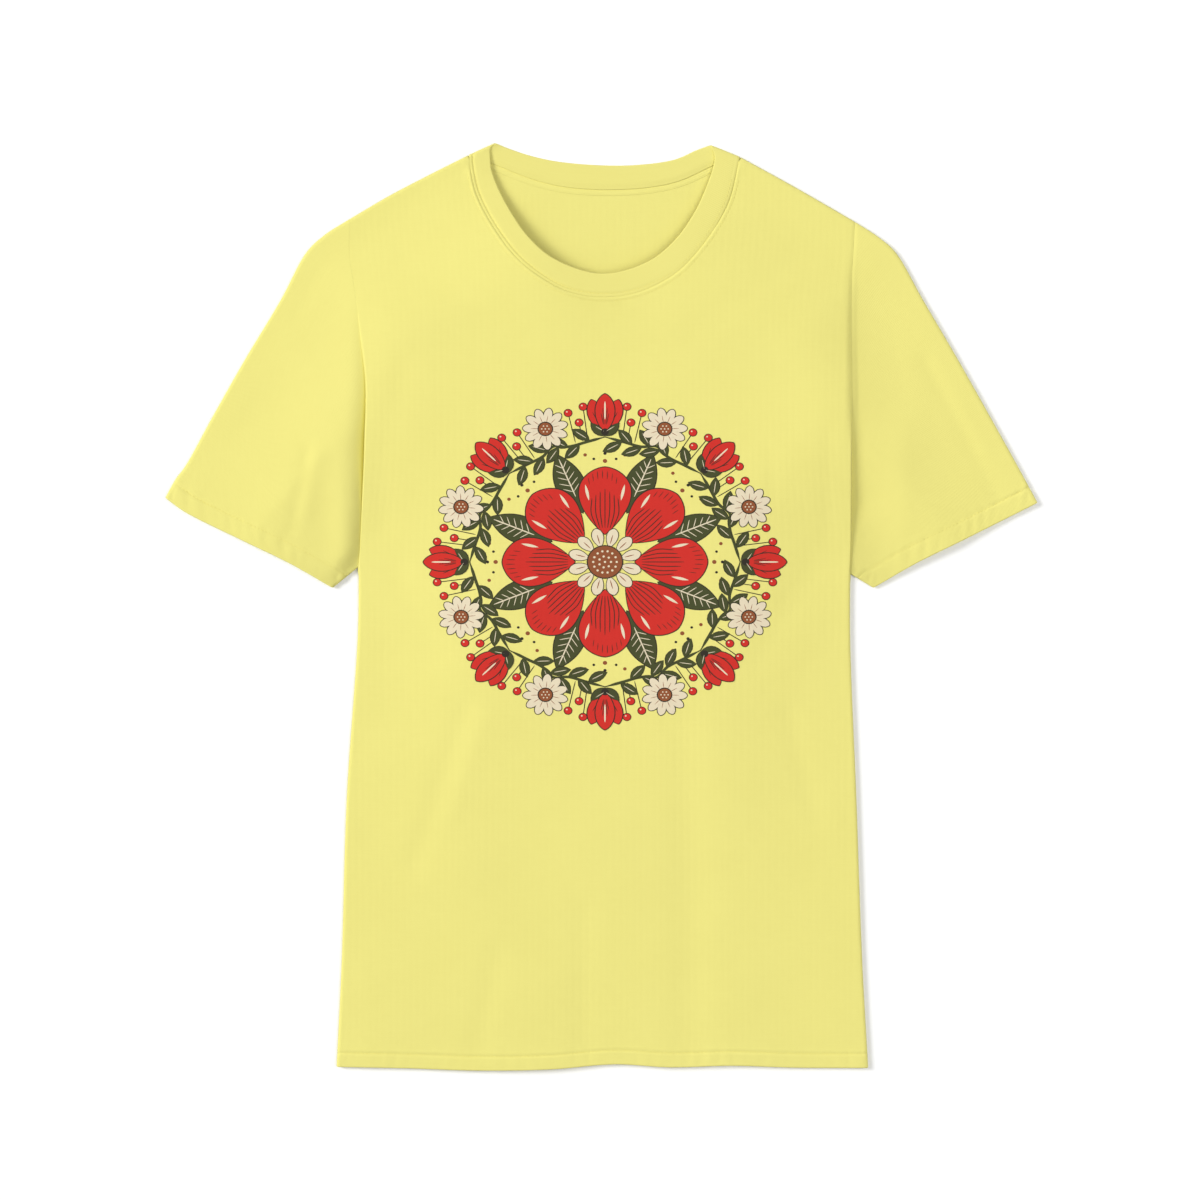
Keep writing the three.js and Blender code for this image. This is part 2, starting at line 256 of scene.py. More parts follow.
# Soft folds that lie in the cloth: (points, half-width, height before the share below), all in millimetres
SOFT_FOLDS = [
    ([(-226, 118), (-236, 68), (-241, 49)], 5, -0.9),
    ([(-217, 118), (-227, 70)], 6, 0.7),
    ([(-218, 258), (-236, 222)], 7, -0.6),
    ([(249, 187), (269, 151), (285, 120), (303, 84)], 6, -0.8),
    ([(258, 190), (279, 152), (296, 122)], 6, 0.6),
    ([(129, 118), (130, 84)], 5, -0.5),
    ([(173, 130), (173, 55)], 6, -0.6),
    ([(-105, -80), (-127, -148), (-143, -196)], 9, -0.9),
    ([(-92, -88), (-114, -156)], 9, 0.6),
    ([(62, -90), (67, -200), (67, -342)], 15, -1.5),
    ([(-14, -236), (-14, -342)], 9, -0.8),
    ([(-80, -268), (-96, -342)], 9, -0.8),
    ([(144, -82), (157, -138), (166, -164)], 8, -0.8),
    ([(-150, 190), (-166, 120), (-168, 60)], 10, -0.7),
    ([(-60, 205), (-150, 262)], 12, -0.6),
    ([(70, 210), (150, 268)], 12, -0.6),
    ([(160, 30), (120, -40)], 11, -0.8),
    ([(-158, 26), (-128, -36)], 11, -0.8),
]
FOLD_SHARE = 0.65

# A gentle unevenness: its height for a wave of 0.5 m, of which shorter waves have less, and its waves
UNDULATION_MM = 0.38
WAVES = 26


def soft_folds(xy):
    """Height that the soft folds and a gentle unevenness add, in millimetres."""
    height = np.zeros(xy.shape[:-1])
    for points, width, top in SOFT_FOLDS:
        away = distance_to([Path(points).spaced(4 * MM)], xy) / (width * MM)
        height += FOLD_SHARE * top * np.exp(-(away ** 2))
    draw = np.random.default_rng(7)
    for _ in range(WAVES):
        heading, wavelength = draw.uniform(0, np.pi), draw.uniform(45, 150) * MM
        steps = (xy[..., 0] * np.cos(heading) + xy[..., 1] * np.sin(heading)) / wavelength
        height += UNDULATION_MM * 0.2 * np.sin(2 * np.pi * steps + draw.uniform(0, 6.28)) * wavelength / 0.1
    return height


def neck_lift(xy):
    """The neck stands up a little on the wearer's right, in millimetres."""
    away = distance_to([NECK_SEAM.spaced()], xy) / (NECK_LIFT_REACH * MM)
    return NECK_LIFT * np.exp(-(away ** 2)) * ease(-xy[..., 0], -40 * MM, 50 * MM)


def front_height(xy, folds=True):
    """Middle of the front cloth, in metres."""
    distance = distance_to(FOLDS, xy)
    rest = loft(xy) + neck_lift(xy) - FOLD_HEIGHT - EDGE_RISE
    height = FOLD_HEIGHT + EDGE_RISE * round_off(distance, EDGE_ROUND)
    height = height + rest * ease(distance, 0, LOFT_REACH * MM)
    if folds:
        height += soft_folds(xy) * ease(distance, 2 * MM, 26 * MM)
    return height * MM


def back_height(xy, thickness):
    """Middle of a back cloth, in metres: it lies flat and curls up to its folds."""
    flat = thickness / 2
    return (flat + (FOLD_HEIGHT - flat) * (1 - round_off(distance_to(FOLDS, xy), BACK_ROUND))) * MM


def patch(bottom, top, start, end, u, v):
    """Places spanned between four edges, for columns u and rows v."""
    u, v = np.asarray(u)[None, :, None], np.asarray(v)[:, None, None]
    across, along = np.asarray(u).ravel(), np.asarray(v).ravel()
    flat = bottom(across)[None] * (1 - v) + top(across)[None] * v
    flat = flat + start(along)[:, None] * (1 - u) + end(along)[:, None] * u
    first, last = np.zeros(1), np.ones(1)
    corners = bottom(first) * (1 - u) * (1 - v) + bottom(last) * u * (1 - v)
    corners = corners + top(first) * (1 - u) * v + top(last) * u * v
    return flat - corners


def shares(near_start, middle, near_end, span):
    """Shares of a span, in millimetres, that are close together near its ends."""
    first = np.array(near_start) / span
    last = 1 - np.array(near_end)[::-1] / span
    between = np.linspace(first[-1], last[0], middle + 2)[1:-1]
    return np.concatenate([first, between, last])


# Distances of rows and columns from a rounded fold, a seam, the hem and a cuff, in millimetres
ROUND_STEPS = [EDGE_ROUND * (1 - math.cos(math.radians(angle))) for angle in range(0, 91, 10)]
SEAM_STEPS = [0, 0.5, 1, 1.5, 2, 2.6, 3.3, 4.2, 5.2, 6.5, 8, 10, 12.5, 15.5, 19, 23, 28]
HEM_STEPS = [0, 0.6, 1.6, 3, 4.6, 6.2, 7.6, 8.6, 9.3, 10, 10.7, 11.4, 12.4, 13.6, 15, 17, 20]
CUFF_STEPS = [0, 0.8, 2.4, 4.4, 6.6, 8.8, 10.4, 11.5, 12.2, 12.8, 13.4, 14.1, 15.2, 17, 19]


def raised(xy, z):
    return np.concatenate([xy, z[..., None]], axis=-1)


def normals_of(points, ring=False):
    """Unit normals of a grid of places, rows by columns."""
    across = np.roll(points, -1, 1) - np.roll(points, 1, 1) if ring else np.gradient(points, axis=1)
    along = np.gradient(points, axis=0)
    normals = np.cross(across, along)
    return normals / np.maximum(np.linalg.norm(normals, axis=-1, keepdims=True), 1e-12)


def turn_under(points, normals, rows, gap):
    """Adds a turned hem before the first row: round the edge, then back under the given rows.
    The gap between both layers, in millimetres, is one for all rows or one for each."""
    gaps = np.broadcast_to(gap, len(points)) * MM
    edge = points[0] - points[1]
    edge /= np.linalg.norm(edge, axis=-1, keepdims=True)
    bend = [points[0] - normals[0] * gaps[0] / 2 * (1 - math.cos(a)) + edge * abs(gaps[0]) / 2 * math.sin(a)
            for a in np.radians([150, 120, 90, 60, 30])]
    under = points[rows][::-1] - normals[rows][::-1] * gaps[rows][::-1, None, None]
    return np.concatenate([under, np.array(bend), points])


def gained(points, axis):
    """What a grid gains in length by rising and falling, added up outwards from its middle."""
    steps = np.diff(points, axis=axis)
    gain = np.linalg.norm(steps, axis=-1) - np.linalg.norm(steps[..., :2], axis=-1)
    total = np.insert(np.cumsum(gain, axis=axis), 0, 0, axis=axis)
    return total - np.take(total, [points.shape[axis] // 2], axis=axis)


def laid_lengths(points):
    """Lengths on a panel: its places seen from above, plus what it gains by rising."""
    return points[..., 0] + gained(points, 1), points[..., 1] + gained(points, 0)


def ring_lengths(points):
    """Lengths on a tube: round each row from its middle, and along it."""
    rows, columns = points.shape[:2]
    steps = np.linalg.norm(np.diff(points, axis=1), axis=-1)
    across = np.concatenate([np.zeros((rows, 1)), np.cumsum(steps, axis=1)], axis=1)
    steps = np.linalg.norm(np.diff(points, axis=0), axis=-1).mean(1)
    along = np.repeat(np.concatenate([[0], np.cumsum(steps)])[:, None], columns, axis=1)
    return across - across[:, columns // 2][:, None], along


def cloth(name, points, material, thickness=JERSEY, ring=False, flipped=False, uv_turn=0.0):
    """A sheet of cloth from a grid of places. Its UVs are its own lengths in metres."""
    rows, columns = points.shape[:2]
    across, along = (ring_lengths if ring else laid_lengths)(points)
    work = bmesh.new()
    bmesh.ops.create_grid(work, x_segments=columns - 1, y_segments=rows - 1, size=1)
    uv = work.loops.layers.uv.new("cloth")
    flat, u, v = points.reshape(-1, 3), across.ravel(), along.ravel()
    turn = (math.cos(uv_turn), math.sin(uv_turn))
    for face in work.faces:
        for loop in face.loops:
            i = loop.vert.index
            loop[uv].uv = (u[i] * turn[0] - v[i] * turn[1], u[i] * turn[1] + v[i] * turn[0])
    for vertex in work.verts:
        vertex.co = flat[vertex.index]
    if ring:
        bmesh.ops.remove_doubles(work, verts=work.verts, dist=1e-6)
    if flipped:
        bmesh.ops.reverse_faces(work, faces=work.faces)
    piece = finished(name, work, material)
    if thickness:
        solid = piece.modifiers.new("thickness", "SOLIDIFY")
        solid.thickness = thickness * MM
        solid.offset = 0
    return piece


def finished(name, work, material, smooth=True):
    mesh = bpy.data.meshes.new(name)
    for face in work.faces:
        face.smooth = smooth
    work.to_mesh(mesh)
    work.free()
    piece = bpy.data.objects.new(name, mesh)
    bpy.context.scene.collection.objects.link(piece)
    mesh.materials.append(material)
    return piece


# Materials


class Nodes:
    """Short ways to add shader nodes to one material."""

    def __init__(self, name):
        self.material = bpy.data.materials.new(name)
        self.material.use_nodes = True
        self.tree = self.material.node_tree
        self.shader = self.tree.nodes["Principled BSDF"]

    def add(self, kind, **settings):
        node = self.tree.nodes.new(kind)
        for key, value in settings.items():
            setattr(node, key, value)
        return node

    def link(self, source, target):
        self.tree.links.new(source, target)

    def math(self, operation, *values):
        node = self.add("ShaderNodeMath", operation=operation)
        for socket, value in zip(node.inputs, values):
            if isinstance(value, (int, float)):
                socket.default_value = value
            else:
                self.link(value, socket)
        return node.outputs[0]

    def noise(self, vector, scale, detail=3.0):
        node = self.add("ShaderNodeTexNoise")
        node.inputs["Scale"].default_value = scale
        node.inputs["Detail"].default_value = detail
        self.link(vector, node.inputs["Vector"])
        return node.outputs[0]

    def stretched(self, vector, scale):
        node = self.add("ShaderNodeMapping")
        node.inputs["Scale"].default_value = scale
        self.link(vector, node.inputs["Vector"])
        return node.outputs[0]

    def blend(self, factor, first, second):
        node = self.add("ShaderNodeMix", data_type="RGBA")
        self.link(factor, node.inputs["Factor"])
        for socket, value in ((node.inputs[6], first), (node.inputs[7], second)):
            if isinstance(value, tuple):
                socket.default_value = (*value, 1)
            else:
                self.link(value, socket)
        return node.outputs[2]

    def bump(self, height, distance, strength=1.0):
        node = self.add("ShaderNodeBump")
        node.inputs["Distance"].default_value = distance * MM
        node.inputs["Strength"].default_value = strength
        self.link(height, node.inputs["Height"])
        self.link(node.outputs[0], self.shader.inputs["Normal"])


def knit(name, light, dark, wale, course, bump):
    """Fine knitted cotton: loops in wales along V, with uneven yarn, faint mottling and painted shade in
    the dips between loops.
    A wale's width, a loop's length along it and the relief are in millimetres."""
    made = Nodes(name)
    uv = made.add("ShaderNodeUVMap", uv_map="cloth").outputs[0]
    split = made.add("ShaderNodeSeparateXYZ")
    made.link(uv, split.inputs[0])
    wales = made.math("DIVIDE", split.outputs[0], wale * MM)
    slant = made.math("ABSOLUTE", made.math("SUBTRACT", made.math("FRACT", wales), 0.5))
    hump = made.math("SUBTRACT", 1.0, made.math("MULTIPLY", made.math("MULTIPLY", slant, slant), 4.0))
    loops = made.math("ADD", made.math("DIVIDE", split.outputs[1], course * MM), slant)
    loop = made.math("SINE", made.math("MULTIPLY", loops, 2 * math.pi))
    weave = made.math("MULTIPLY", hump, made.math("MULTIPLY_ADD", loop, 0.22, 0.78))
    yarn = made.noise(made.stretched(uv, (60, 900, 1)), 1.0, 2.0)
    fibre = made.noise(made.stretched(uv, (1, 1, 1)), 2600, 2.0)
    mottle = made.noise(uv, 24, 3.0)
    # Painted shade: lighter on the loops' humps and darker where the knit dips between them; yarn and
    # mottle add random tone
    loop_shade_and_tone = made.math("MULTIPLY_ADD", weave, 0.34, 0.12)
    loop_shade_and_tone = made.math("ADD", loop_shade_and_tone, made.math("MULTIPLY", yarn, 0.34))
    loop_shade_and_tone = made.math("ADD", loop_shade_and_tone, made.math("MULTIPLY", mottle, 0.30))
    colour = made.blend(loop_shade_and_tone, dark, light)
    made.link(colour, made.shader.inputs["Base Color"])
    height = made.math("ADD", weave, made.math("MULTIPLY", fibre, 0.5))
    made.bump(height, bump)
    made.shader.inputs["Roughness"].default_value = 0.92
    made.shader.inputs["Specular IOR Level"].default_value = 0.25
    made.shader.inputs["Sheen Weight"].default_value = 0.12
    made.shader.inputs["Sheen Roughness"].default_value = 0.5
    return made.material


YELLOW_LIGHT = (0.79, 0.733, 0.222)
YELLOW_DARK = (0.73, 0.665, 0.182)
RIB_LIGHT = (0.758, 0.70, 0.213)
RIB_DARK = (0.70, 0.636, 0.174)
jersey = knit("yellow jersey", YELLOW_LIGHT, YELLOW_DARK, 0.9, 0.7, 0.12)
rib = knit("yellow rib knit", RIB_LIGHT, RIB_DARK, 1.5, 0.8, 0.06)
tape_cloth = knit("yellow seam tape", YELLOW_LIGHT, YELLOW_DARK, 0.7, 0.7, 0.08)


def ink(name, colour, dark=0.86):
    """A thin layer of printing ink that follows the loops of the knit, with the knit's painted shade
    between them.
    """
    return knit(name, colour, tuple(dark * c for c in colour), 0.9, 0.7, 0.09)


INKS = {
    "dark": ink("dark line ink", (0.030, 0.025, 0.016)),
    "olive": ink("olive ink", (0.058, 0.066, 0.021)),
    "brown": ink("brown ink", (0.27, 0.083, 0.03)),
    "red": ink("red ink", (0.60, 0.026, 0.018)),
    "cream": ink("cream ink", (0.76, 0.66, 0.47)),
}


def thread_material():
    made = Nodes("yellow sewing thread")
    where = made.add("ShaderNodeTexCoord").outputs["Object"]
    twist = made.noise(made.stretched(where, (900, 900, 900)), 1.0, 2.0)
    made.link(made.blend(twist, (0.70, 0.62, 0.15), (0.82, 0.75, 0.24)), made.shader.inputs["Base Color"])
    made.shader.inputs["Roughness"].default_value = 0.6
    made.bump(twist, 0.05)
    return made.material


thread = thread_material()


# Body panels

PANEL_MIDDLE = 100
PANEL_ROWS = 165


def dip_at(dips, y):
    """Depth of the dip beside an armhole at a height on the shirt, in millimetres."""
    places, depths = np.array(dips, float).T
    return np.interp(y / MM, places, depths)


def lowered(z, depth, profile):
    """Cloth let down by a profile of some depth in millimetres, but never under its folded edges."""
    room = np.clip(z / MM - FOLD_HEIGHT, 0, None) + DIP_ROOM
    return z - np.minimum(depth, DIP_SHARE * room) * profile * MM


def bulk(xy, away):
    """The right sleeve gathers into a low swell round the lower end of its armhole, in millimetres."""
    clear = ease(distance_to(FOLDS, xy), 0, 16 * MM)
    low = 1 - ease(xy[..., 1], 60 * MM, 130 * MM)
    return SWELL * np.exp(-((away / SWELL_REACH) ** 2)) * clear * low


def seam_line(away, crisp):
    """The fine groove of an armhole seam where nothing covers it, in millimetres."""
    return SEAM_GROOVE * (1 - crisp) * np.exp(-((away / SEAM_GROOVE_WIDTH) ** 2))


def crispness(xy, half):
    """1 where the body lies over the sleeve as a crisp edge, and 0 where both fall into a soft valley."""
    return 1 if half is right else 1 - ease(xy[..., 1], LAP_TOP[0] * MM, LAP_TOP[1] * MM)


def body_at_armhole(xy, z, half):
    """The body is a crisp edge over the sleeve, leaning out a little, or falls softly into the valley."""
    away = away_from(half.armhole, xy)
    depth = dip_at(half.dips, xy[..., 1])
    crisp = crispness(xy, half)
    edge = np.exp(-((away / CRISP_EDGE) ** 2))
    profile = mix(ease(SOFT_VALLEY - away, 0, 2 * SOFT_VALLEY), edge, crisp)
    shifted = xy.copy()
    lean = 0.1 * depth * crisp * np.exp(-(((away - 2.6) / 2.6) ** 2))
    shifted[..., 0] += half.outwards * lean * MM
    near = np.sign(xy[..., 0]) == half.outwards
    fallen = lowered(z, depth, profile) - seam_line(away, crisp) * MM
    return np.where(near[..., None], shifted, xy), np.where(near, fallen, z)


def sleeve_at_armhole(xy, z, half):
    """The sleeve comes up from under the body: in a hollow curve on the right, and softly on the left."""
    away = away_from(half.armhole, xy)
    depth = dip_at(half.dips, xy[..., 1])
    crisp = crispness(xy, half)
    if half is right:
        profile = np.clip(1 - away / (8 + 1.6 * depth), 0, 1) ** 2.6
        z = z + bulk(xy, away) * MM
    else:
        valley = ease(SOFT_VALLEY + away, 0, 2 * SOFT_VALLEY) * (1 - ease(away, SOFT_VALLEY, 60))
        profile = mix(valley, 1 - ease(away, 3, 45), crisp)
    return lowered(z, depth, profile) - seam_line(away, crisp) * MM


def hem_detail(xy, z, hem_line, turn):
    """A sewn hem: pinched at its stitches, swelling on both sides of them and puckered at the edge."""
    away = away_from(hem_line, xy)
    draw = np.random.default_rng(11)
    pucker = np.zeros(away.shape)
    for _ in range(16):
        heading, wavelength = draw.uniform(-0.3, 0.3), draw.uniform(5, 18) * MM
        steps = (xy[..., 0] * np.cos(heading) + xy[..., 1] * np.sin(heading)) / wavelength
        pucker += np.sin(2 * np.pi * steps + draw.uniform(0, 6.28)) * 0.055
    inner = np.exp(-(((away - turn * 0.5) / (turn * 0.55)) ** 2))
    past = 0.35 * np.exp(-(((away - turn - 2.5) / 3.0) ** 2))
    groove = 0.35 * np.exp(-(((away - turn) / 0.8) ** 2))
    swell = 0.22 * (1 - ease(away, turn - 1.5, turn)) + 0.16 * np.exp(-(((away - turn - 2.6) / 1.5) ** 2))
    return z + (pucker * (inner + past) + swell - groove) * MM


def body_outline(neck_points):
    """Flat places of a body panel, rows from the hem up by columns from the wearer's right."""
    corners = RIGHT_HALF["collar_corner"], LEFT_HALF["collar_corner"]
    neck = Path([corners[0], *neck_points, corners[1]])
    right_shoulder = Path([RIGHT_HALF["shoulder_tip"], *RIGHT_HALF["shoulder"][::-1], corners[0]])
    top = chain([right_shoulder, neck, left.shoulder], [0.2, 0.6, 0.2])
    edges = [chain([half.side, half.armhole], [half.side_share, 1 - half.side_share])
             for half in (right, left)]
    columns = shares(merged_steps(), PANEL_MIDDLE, merged_steps(), 400)
    rows = shares(HEM_STEPS, PANEL_ROWS, SEAM_STEPS, 650)
    return patch(HEM_LINE.at, top, *edges, columns, rows)


def merged_steps():
    """Spacing that suits both a rounded fold and a seam."""
    steps = sorted(set(round(s, 2) for s in ROUND_STEPS + SEAM_STEPS))
    kept = [steps[0]]
    for step in steps[1:]:
        if step - kept[-1] > 0.2:
            kept.append(step)
    return kept


def neck_slack(xy):
    """How loosely the neck seam lies: 1 on the wearer's right, where it is a ridge, and 0 on the left."""
    return ease(-xy[..., 0], -70 * MM, 50 * MM)


def front_panel():
    xy = body_outline(FRONT_SEAM)
    z = front_height(xy)
    for half in (right, left):
        xy, z = body_at_armhole(xy, z, half)
    z = hem_detail(xy, z, HEM_LINE, HEM_TURN)
    away = away_from(NECK_SEAM, xy)
    middle = ease(distance_to(FOLDS, xy), 1 * MM, 12 * MM)
    slack = neck_slack(xy)
    z += middle * (mix(0.12, 0.6, slack) * np.exp(-(((away - 1.6) / 1.2) ** 2))
                   - mix(0.45, 0.3, slack) * np.exp(-((away / 0.8) ** 2))
                   - 0.12 * np.exp(-(((away - 3.0) / 0.6) ** 2))) * MM
    points = raised(xy, z)
    points = turn_under(points, normals_of(points), TURN_ROWS, TURN_GAP)
    return cloth("shirt_front", points, jersey)


def back_panel():
    xy = body_outline(BACK_SEAM)
    points = raised(xy, back_height(xy, JERSEY + 0.3))
    points = turn_under(points, normals_of(points), TURN_ROWS, -TURN_GAP)
    return cloth("shirt_back", points, jersey, flipped=True)


# Sleeves

SLEEVE_ACROSS = 40
SLEEVE_ALONG = 46


def backwards(line):
    """A line walked from its other end."""
    return lambda share: line.at(1 - share)


def sleeve(half, name):
    """A tube of cloth: rows from the cuff up to the armhole, columns round it."""
    near_folds = merged_steps()[:18]
    across = shares(near_folds, SLEEVE_ACROSS, near_folds, 210)
    along = shares(CUFF_STEPS, SLEEVE_ALONG, merged_steps(), 235)
    xy = patch(half.cuff.at, backwards(half.armhole), backwards(half.sleeve_fold), backwards(half.underarm),
               across, along)
    z = front_height(xy)
    z = sleeve_at_armhole(xy, z, half)
    z = hem_detail(xy, z, half.cuff, CUFF_TURN)
    front = raised(xy, z)
    back = raised(xy, back_height(xy, JERSEY + 0.3))[:, ::-1]
    loop = np.concatenate([front, back[:, 1:-1]], axis=1)
    normals = normals_of(loop, ring=True) * -half.outwards
    points = turn_under(loop, normals, TURN_ROWS, TURN_GAP)
    points = np.concatenate([points, points[:, :1]], axis=1)
    return cloth(name, points, jersey, ring=True, flipped=half is left, uv_turn=half.outwards * -0.55)


# Neck

# Steps across the band from its seam to its folded edge, in millimetres
BAND_STEPS = [0, 0.5, 1, 1.6, 2.1, 2.6, 3.1, 3.7, 4.6, 6, 8, 10, 12, 14, 15.6, 16.6, 17]


def neck_band():
    corners, tips = [half.corner for half in (right, left)], [half.tip for half in (right, left)]
    close = (1 - np.cos(np.linspace(0, np.pi, 200))) / 2
    across = np.array(BAND_STEPS)[:, None, None] / BAND_STEPS[-1]

    def arc(seam_points, free_points, height_at):
        seam = Path([corners[0], *seam_points, corners[1]]).at(close)
        free = Path([tips[0], *free_points, tips[1]]).at(close)
        xy = mix(seam[None], free[None], across)
        return raised(xy, height_at(xy, across[..., 0]))

    def drooping(xy, v):
        return np.maximum(front_height(xy, False) - (COLLAR_DROOP * v * v) * MM, FOLD_HEIGHT * MM)

    front = arc(FRONT_SEAM, FRONT_FREE_EDGE, drooping)
    back = arc(BACK_SEAM, BACK_FREE_EDGE, lambda xy, v: back_height(xy, 1.0))
    loop = np.concatenate([front, back[:, -2:0:-1]], axis=1)
    normals = normals_of(loop, ring=True)
    off_seam = np.array(BAND_STEPS)[:, None]
    on_front = loop[..., 2] > FOLD_HEIGHT * MM - 1e-6
    slack = neck_slack(loop[..., :2]) * on_front
    sunk = mix(0.45, 0.2, slack) * np.exp(-((off_seam / 0.9) ** 2))
    sunk = sunk + mix(0.1, 0.8, slack) * np.exp(-(((off_seam - STITCH_INSIDE_NECK) / 0.8) ** 2))
    outer = loop - normals * (sunk * on_front)[..., None] * MM
    gap = mix(0.6, 1.2, ease(np.array(BAND_STEPS), 0, 5))[::-1]
    points = turn_under(outer[::-1], normals[::-1], slice(0, len(BAND_STEPS)), gap)[::-1]
    points = np.concatenate([points, points[:, :1]], axis=1)
    return cloth("neck_band", points, rib, thickness=0.8, ring=True)


def neck_tape():
    seam = Path(BACK_SEAM)
    t = np.linspace(0, 1, 120)
    places = seam.at(t)
    heading = np.gradient(places, axis=0)
    heading /= np.linalg.norm(heading, axis=1, keepdims=True)
    down = np.stack([heading[:, 1], -heading[:, 0]], axis=-1)
    across = np.linspace(0, 1, 15)
    xy = places[None] + down[None] * (mix(-0.6, TAPE_WIDTH, across) * MM)[:, None, None]
    hump = 0.36 * np.sin(np.pi * across) ** 0.6 + 0.05 * np.cos(6 * np.pi * across)
    z = (0.58 + hump)[:, None] * np.ones((1, 120)) * MM
    return cloth("neck_seam_tape", raised(xy, z)[::-1], tape_cloth, thickness=0.45)


# Sewing


def surface_of(*pieces):
    """Finished surfaces of some pieces, to lay things on."""
    graph = bpy.context.evaluated_depsgraph_get()
    return [BVHTree.FromObject(piece, graph) for piece in pieces]


def dropped(trees, x, y, side=1):
    """Outermost place of some surfaces, seen from above (side 1) or below (-1), and its normal."""
    hits = [tree.ray_cast(Vector((x, y, side * 0.2)), Vector((0, 0, -side))) for tree in trees]
    hits = [hit for hit in hits if hit[0] is not None]
    return max(hits, key=lambda hit: side * hit[0].z)[:2] if hits else (None, None)


def stitches(name, line, trees, facing, length=2.4, gap=0.7, width=0.42):
    """Rows of straight stitches, as small rounded threads: on top of the cloth or, facing -1, under it."""
    work = bmesh.new()
    steps = np.linalg.norm(np.diff(line, axis=0), axis=1)
    walked = np.concatenate([[0], np.cumsum(steps)])
    for start in np.arange(gap, walked[-1] / MM - length, length + gap):
        ends = []
        for at in (start, start + length):
            x, y = (np.interp(at * MM, walked, line[:, k]) for k in (0, 1))
            ends.append(dropped(trees, x, y, facing))
        if any(place is None for place, _ in ends):
            continue
        along = (ends[1][0] - ends[0][0]).normalized()
        up = ends[0][1]
        side = up.cross(along).normalized()
        centre = (ends[0][0] + ends[1][0]) / 2 + up * width * 0.15 * MM
        turn = Matrix((along, side, along.cross(side))).transposed().to_4x4()
        size = Matrix.Diagonal((length / 2 * MM, width / 2 * MM, width / 2 * MM, 1))
        bmesh.ops.create_uvsphere(work, u_segments=6, v_segments=5, radius=1,
                                  matrix=Matrix.Translation(centre) @ turn @ size)
    return finished(name, work, thread)


def beside(line, offset):
    """A line shifted sideways, in millimetres, to the left of its heading."""
    heading = np.gradient(line, axis=0)
    heading /= np.maximum(np.linalg.norm(heading, axis=1, keepdims=True), 1e-12)
    return line + np.stack([-heading[:, 1], heading[:, 0]], axis=-1) * offset * MM


# Print: a round garland of plain garden flowers, drawn flat and then laid on the front

PRINT_MIDDLE = (2.3, 34.1)
PRINT_SCALE = (1.045, 0.965)
INK_RISE = 0.08
INK_LEVEL = 0.035


class Drawing:
    """Flat shapes in millimetres from the middle of the print, one mesh for each ink."""

    def __init__(self):
        self.works = {name: bmesh.new() for name in INKS}

    def grid(self, colour, level, spine, halves, across):
        """A shape with a given half-width at each place of its spine."""
        heading = np.gradient(spine, axis=0)
        heading /= np.maximum(np.linalg.norm(heading, axis=1, keepdims=True), 1e-9)
        side = np.stack([-heading[:, 1], heading[:, 0]], axis=-1)
        made = bmesh.ops.create_grid(self.works[colour], x_segments=across, y_segments=len(spine) - 1,
                                     size=1)
        spread = np.linspace(1, -1, across + 1)[None, :, None]
        places = spine[:, None] + side[:, None] * (spread * np.maximum(halves, 0.03)[:, None, None])
        for vertex, (x, y) in zip(made["verts"], places.reshape(-1, 2)):
            vertex.co = (x, y, level)

    def leaf(self, colour, level, root, angle, length, width, bend=0.0, fullest=0.5, point=1.0, grow=0.0):
        """A leaf or petal from its root outwards, pointed at 1 and round at 0.5."""
        turn = np.array([math.cos(angle), math.sin(angle)])
        root = np.array(root, float) - turn * grow
        length, width = length + 2 * grow, width + 2 * grow
        t = np.linspace(0, 1, max(8, int(length / 2.2)) + 1)
        s = (1 - np.cos(np.pi * t)) / 2
        full = np.clip(s, 0, 1) ** (math.log(0.5) / math.log(fullest))
        halves = width / 2 * (4 * full * (1 - full)) ** point
        aside = np.array([-turn[1], turn[0]])
        spine = root + turn * (s * length)[:, None] + aside * (bend * s * s)[:, None]
        self.grid(colour, level, spine, halves, max(2, 2 * round(width / 7)))

    def outlined(self, colour, level, *shape, line=0.75, **more):
        self.leaf("dark", level, *shape, grow=line, **more)
        self.leaf(colour, level + 1, *shape, **more)

    def dot(self, colour, level, centre, radius):
        self.leaf(colour, level, (centre[0] - radius, centre[1]), 0, 2 * radius, 2 * radius, point=0.5)

    def stroke(self, colour, level, points, width):
        """A pen line that thins out at both ends."""
        line = Path(points).spaced(2 * MM) / MM
        t = np.linspace(0, 1, len(line))
        self.grid(colour, level, line, width / 2 * np.clip(12 * t * (1 - t), 0.4, 1), 1)


def polar(radius, angle):
    return np.array([radius * math.cos(angle), radius * math.sin(angle)])


